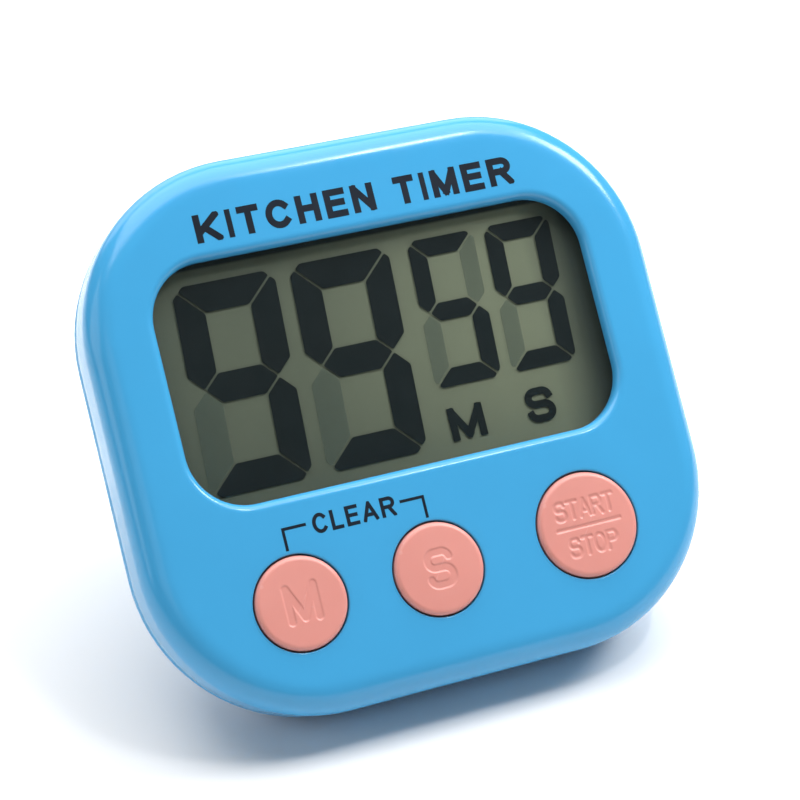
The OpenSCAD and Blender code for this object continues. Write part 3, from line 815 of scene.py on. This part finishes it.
def distance_to(pieces, points):
    """Distance from each point to the nearest line piece."""
    best = np.full(len(points), 1e9)
    for a, b in pieces:
        a, b = np.array(a), np.array(b)
        along = b - a
        t = np.clip(((points - a) @ along) / max(along @ along, 1e-12), 0, 1)
        best = np.minimum(best, np.linalg.norm(points - a - t[:, None] * along, axis=1))
    return best


# ---------------------------------------------------------------- buttons

CAP_EDGE_R = 0.75
CAP_CROWN = 0.12
CAP_WALL = 1.1
CAP_UNDER = -0.9
CAP_STEM_R = 2
FLANGE_TOP = -WALL - 0.1
FLANGE_BACK = FLANGE_TOP - 0.8
RELIEF = 0.13
RELIEF_SIDE = 0.24


def press_in(verts, letters, half_stroke):
    """Lowers the verts along the letters' lines, with soft sides."""
    away = distance_to(letters, np.array([(v.co.x, v.co.y) for v in verts]))
    fall = np.clip((half_stroke + RELIEF_SIDE - away) / RELIEF_SIDE, 0, 1)
    for vert, f in zip(verts, fall):
        vert.co.z -= RELIEF * f * f * (3 - 2 * f)


def button_cap(name, letters, half_stroke):
    """A cap with a softly crowned top, rounded edge and letters pressed into the top."""
    button = BUTTONS[name]
    r, top = button["r"], button["top"]
    around = 200
    spacing = 0.11
    flat_r = r - CAP_EDGE_R
    flat_rings = int(flat_r / spacing)
    radii = [flat_r * i / flat_rings for i in range(1, flat_rings + 1)]
    profile = [(q, top - CAP_CROWN * (q / r) ** 2) for q in radii]
    edge_z = profile[-1][1]
    profile += [(flat_r + CAP_EDGE_R * math.sin(math.radians(a)),
                 edge_z - CAP_EDGE_R * (1 - math.cos(math.radians(a)))) for a in range(12, 91, 13)]
    profile += [(r, FLANGE_TOP), (r + BUTTON_FLANGE, FLANGE_TOP), (r + BUTTON_FLANGE, FLANGE_BACK),
                (r - CAP_WALL, FLANGE_BACK), (r - CAP_WALL, CAP_UNDER), (CAP_STEM_R, CAP_UNDER),
                (CAP_STEM_R, button["back"])]
    bm = bmesh.new()
    rings = [ring(bm, circle((0, 0), q, around), z) for q, z in profile]
    loft(bm, rings)
    centre = bm.verts.new((0, 0, top))
    for i in range(around):
        bm.faces.new((centre, rings[0][i], rings[0][(i + 1) % around]))
    bm.faces.new(rings[-1])
    press_in([centre] + [v for verts in rings[:flat_rings] for v in verts], letters, half_stroke)
    bmesh.ops.translate(bm, verts=bm.verts, vec=(*button["at"], 0))
    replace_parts(new_piece(name + "_cap", bm, pink_abs, button["body"], 50), name)


BIG_STROKE = 0.42
SMALL_STROKE = 0.12
button_cap("button_m", word("M", -2.0, -2.3, 4.0, 4.6), BIG_STROKE)
button_cap("button_s", word("S", -1.7, -2.3, 3.4, 4.6), BIG_STROKE)
start_line = word("START", -4.55, 1.3, 1.45, 2.45)
stop_line = word("STOP", -3.6, -4.1, 1.5, 2.45)
bar_between = [((-4.9, -0.05), (4.9, -0.05))]
button_cap("button_start_stop", start_line + stop_line + bar_between, SMALL_STROKE)

# ---------------------------------------------------------------- printed lettering


def ribbon(points, half):
    """Outline of a line drawn with a flat pen, its corners mitred and its ends square."""
    sides = [[], []]
    for i, point in enumerate(points):
        here = Vector(point)
        before = (here - Vector(points[i - 1])).normalized() if i else None
        after = (Vector(points[i + 1]) - here).normalized() if i + 1 < len(points) else None
        if before is None or after is None:
            direction = after or before
            overrun = -0.9 if before is None else 0.9
            here = here + direction * half * overrun
            reach = half
        else:
            direction = (before + after).normalized()
            reach = half / max(direction.dot(after), 0.3)
        normal = Vector((-direction.y, direction.x))
        sides[0].append(tuple(here + normal * reach))
        sides[1].append(tuple(here - normal * reach))
    return sides[0] + sides[1][::-1]


# Widths of the printed letters and of a space, in letter heights.
WIDTHS = {"A": 0.98, "C": 0.93, "E": 0.80, "H": 0.84, "I": 0.2, "K": 0.95, "L": 0.74, "M": 0.98,
          "N": 0.84, "R": 0.92, "S": 0.84, "T": 0.80, " ": 0.34}
PRINT_T = 0.02


def letter(which, x, y, w, h, pen, z_low, z_high):
    """One printed letter in a box, as a closed flat solid."""
    half = pen / 2
    forms = []
    for line in STROKES[which]:
        points = [(x + half + px * (w - pen), y + half + py * (h - pen)) for px, py in line]
        forms.append(prism(ribbon(points, half), z_low, z_high))
    whole = carved(forms[0], forms[1:], "UNION") if len(forms) > 1 else forms[0]
    trim = box((x, y, z_low - 1), (x + w, y + h, z_high + 1))
    return carved(whole, [trim], "INTERSECT")


def printed(text, x_low, x_high, y_low, y_high, pen, squeeze):
    """Words fitted between two ends, with even spaces between the letters."""
    h = y_high - y_low
    widths = [WIDTHS[c] * squeeze for c in text]
    gap = (x_high - x_low - sum(widths) * h) / (len(text) - 1)
    x = x_low
    parts = []
    for c, width in zip(text, widths):
        w = width * h
        if c != " ":
            parts.append(letter(c, x, y_low, w, h, pen, -PRINT_T, PRINT_T))
        x += w + gap
    return parts


def arm(x_near, x_far):
    """A line beside CLEAR, from the word out to x_far and then down towards a button."""
    line_half = 0.21
    line_y = -13.35
    y_end = -16.4
    out = math.copysign(line_half, x_far - x_near)
    return prism([(x_near, line_y + line_half), (x_far + out, line_y + line_half),
                  (x_far + out, y_end), (x_far - out, y_end),
                  (x_far - out, line_y - line_half), (x_near, line_y - line_half)],
                 -PRINT_T, PRINT_T)


def joined(parts):
    """The parts as one form, side by side."""
    bm = bmesh.new()
    for part in parts:
        mesh = bpy.data.meshes.new("part")
        part.to_mesh(mesh)
        part.free()
        bm.from_mesh(mesh)
        bpy.data.meshes.remove(mesh)
    return cleaned(bm)


title = printed("KITCHEN TIMER", -24.1, 24.1, 27.95, 32.1, pen=0.97, squeeze=0.97)
clear = printed("CLEAR", -17.8, -5.5, -15.05, -12.2, pen=0.52, squeeze=0.83)
arms = [arm(-18.7, -22.1), arm(-4.75, -1.3)]
new_piece("face_lettering", joined(title + clear + arms), ink, "case", 30)

# ---------------------------------------------------------------- display

SLANT = 0.05
SEGMENT_GAP = 0.22
BIG = {"w": 15.1, "h": 30.0, "bar": 4.2, "cut": 1.6, "y": -7.0}
SMALL = {"w": 10.3, "h": 21.8, "bar": 2.65, "cut": 1.1, "y": 1.2}
DIGITS = [(BIG, -30.2, "abcdfg"), (BIG, -12.9, "abcdfg"), (SMALL, 5.6, "acdfg"),
          (SMALL, 17.6, "abcdfg")]
SEGMENT_CORNER_R = 0.3
LEGEND_PEN = 1.1
PANEL_GAP = 0.15
SHEET_CORNER_R = 0.4


def segment(size, which):
    """Outline of one segment of a digit, a to f clockwise from the top, g in the middle."""
    w, h, bar_w, cut, gap = size["w"], size["h"], size["bar"], size["cut"], SEGMENT_GAP
    m, tip, t = h / 2, bar_w / 2, (cut - gap) / 2
    shapes = {
        "across": [(cut, h), (w - cut, h), (w - gap - t, h - t), (w - bar_w - gap, h - bar_w),
                   (bar_w + gap, h - bar_w), (gap + t, h - t)],
        "upright": [(0, h - cut), (t, h - gap - t), (bar_w, h - bar_w - gap),
                    (bar_w, m + tip + gap), (tip, m + gap), (0, m + tip + gap)],
        "middle": [(tip + gap, m), (bar_w + gap, m + tip), (w - bar_w - gap, m + tip),
                   (w - tip - gap, m), (w - bar_w - gap, m - tip), (bar_w + gap, m - tip)]}
    kind = {"a": "across", "d": "across", "g": "middle"}.get(which, "upright")
    flip_x = which in "bc"
    flip_y = which in "cde"
    points = [(w - x if flip_x else x, h - y if flip_y else y) for x, y in shapes[kind]]
    return [(x + SLANT * y, y) for x, y in points]


def soft_corners(points, r, steps=4):
    """Rounds each corner of an outline with a small quadratic curve."""
    result = []
    for i, corner in enumerate(points):
        corner = Vector(corner)
        ends = [corner + (Vector(points[(i + k) % len(points)]) - corner).normalized() * r
                for k in (-1, 1)]
        for j in range(steps + 1):
            t = j / steps
            p = (1 - t) ** 2 * ends[0] + 2 * t * (1 - t) * corner + t ** 2 * ends[1]
            result.append((p.x, p.y))
    return result


def sheet(node, z_low, z_high):
    """A flat sheet with the outline of a CAD node."""
    corner_low, corner_high = place(node)
    return prism(rounded(corner_high.x - corner_low.x, corner_high.y - corner_low.y,
                         SHEET_CORNER_R, *middle(node), 4), z_low, z_high)


seg_low, seg_high = place("lcd_segments")
lit, unlit = [], []
for size, x, on in DIGITS:
    for which in "abcdefg":
        points = [(px + x, py + size["y"]) for px, py in segment(size, which)]
        shape = prism(soft_corners(points, SEGMENT_CORNER_R), seg_low.z, seg_high.z)
        (lit if which in on else unlit).append(shape)
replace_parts(new_piece("display_segments", joined(lit), segment_ink, "case", 30), "lcd_segments")
new_piece("display_unlit", joined(unlit), ghost_film, "case", 30)
legends = [letter("M", 6.3, -6.7, 5.4, 4.9, LEGEND_PEN, seg_low.z, seg_high.z),
           letter("S", 18.3, -6.7, 4.5, 5.1, LEGEND_PEN, seg_low.z, seg_high.z)]
new_piece("display_legends", joined(legends), segment_ink, "case", 30)

film_low, film_high = place("lcd_front_polariser")
cover = sheet("lcd_front_polariser", film_low.z, film_high.z)
cover_piece = new_piece("display_cover", cover, cover_film, "case")
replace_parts(cover_piece, "lcd_front_polariser", "lcd_front_glass")
panel = sheet("lcd_reflector", place("lcd_reflector")[0].z, seg_low.z - PANEL_GAP)
panel_piece = new_piece("display_panel", panel, reflector, "case")
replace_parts(panel_piece, "lcd_reflector", "lcd_rear_glass")

# ---------------------------------------------------------------- carried-over CAD parts

CAD_MATERIALS = {
    steel: ["switch_covers", "board_screws", "case_screws", "battery_can", "battery_tip",
            "battery_spring", "negative_contact", "positive_contact", "timing_crystal"],
    switch_black: ["switch_plunger_m", "switch_plunger_s", "switch_plunger_start",
                   "switch_housings"],
    white_plastic: ["lcd_holder"],
    zebra: ["zebra_strip"],
    board: ["circuit_board"],
    black_resin: ["chip_blob", "chip_resistors"],
    can_sleeve: ["buffer_capacitor"],
    chip_tan: ["chip_capacitors"],
    brass: ["piezo_plate"],
    ceramic_white: ["piezo_ceramic"],
    red_rubber: ["buzzer_wire_red", "battery_wire_red"],
    black_rubber: ["buzzer_wire_black", "battery_wire_black"],
    cell_sleeve: ["battery_sleeve"],
    magnet_grey: ["magnet_left", "magnet_right"],
}
for material, names in CAD_MATERIALS.items():
    for name in names:
        NODES[name].data.materials.clear()
        NODES[name].data.materials.append(material)

# ---------------------------------------------------------------- floor, light and camera


def floor():
    """A wide sheet that the timer stands on."""
    bm = bmesh.new()
    bmesh.ops.create_grid(bm, x_segments=8, y_segments=8, size=3.0)
    mesh = bpy.data.meshes.new("floor")
    bm.to_mesh(mesh)
    bm.free()
    mesh.materials.append(floor_paper())
    plane = bpy.data.objects.new("floor", mesh)
    bpy.context.scene.collection.objects.link(plane)


def softbox(name, at, target, size, power):
    """A rectangular lamp that faces its target."""
    light = bpy.data.lights.new(name, "AREA")
    light.shape = "RECTANGLE"
    light.size, light.size_y = size
    light.energy = power
    lamp = bpy.data.objects.new(name, light)
    lamp.location = at
    lamp.rotation_euler = (Vector(target) - Vector(at)).to_track_quat("-Z", "Y").to_euler()
    bpy.context.scene.collection.objects.link(lamp)


# The camera's place and target in the face frame: it stands to the left and a little low.
CAMERA_AT = Vector((-97.9, -25.9, 299.4))
CAMERA_TARGET = Vector((-1.04, 0.63, 0))


def camera():
    at = FACE @ CAMERA_AT
    data = bpy.data.cameras.new("camera")
    data.lens = 100.7
    data.sensor_width = 36
    data.clip_start = 0.01
    eye = bpy.data.objects.new("camera", data)
    eye.location = at
    eye.rotation_euler = (FACE @ CAMERA_TARGET - at).to_track_quat("-Z", "Y").to_euler()
    bpy.context.scene.collection.objects.link(eye)
    bpy.context.scene.camera = eye


floor()

# Each lamp has its place and its target, its two widths in metres, and its power in watts.
TIMER_AT = (0, 0, 0.035)
softbox("overhead", (0.03, 0.12, 0.45), TIMER_AT, (0.65, 0.42), 3.1)
softbox("back", (0.05, 0.85, 0.40), TIMER_AT, (1.2, 0.5), 3.3)
softbox("key", (0.50, -0.03, 0.50), TIMER_AT, (0.22, 0.22), 2.8)
softbox("fill", (-0.60, -0.75, 0.75), TIMER_AT, (0.5, 0.5), 0.5)
softbox("left", (-0.75, 0.05, 0.35), TIMER_AT, (0.5, 0.5), 1.2)
softbox("glint", (0.20, -0.11, 0.60), (0, 0.018, 0.066), (0.10, 0.012), 0.7)
world = bpy.data.worlds.new("studio")
world.use_nodes = True
world.node_tree.nodes["Background"].inputs["Color"].default_value = (1.0, 0.98, 0.96, 1)
world.node_tree.nodes["Background"].inputs["Strength"].default_value = 0.19
bpy.context.scene.world = world
bpy.context.scene.view_settings.view_transform = "Standard"
camera()
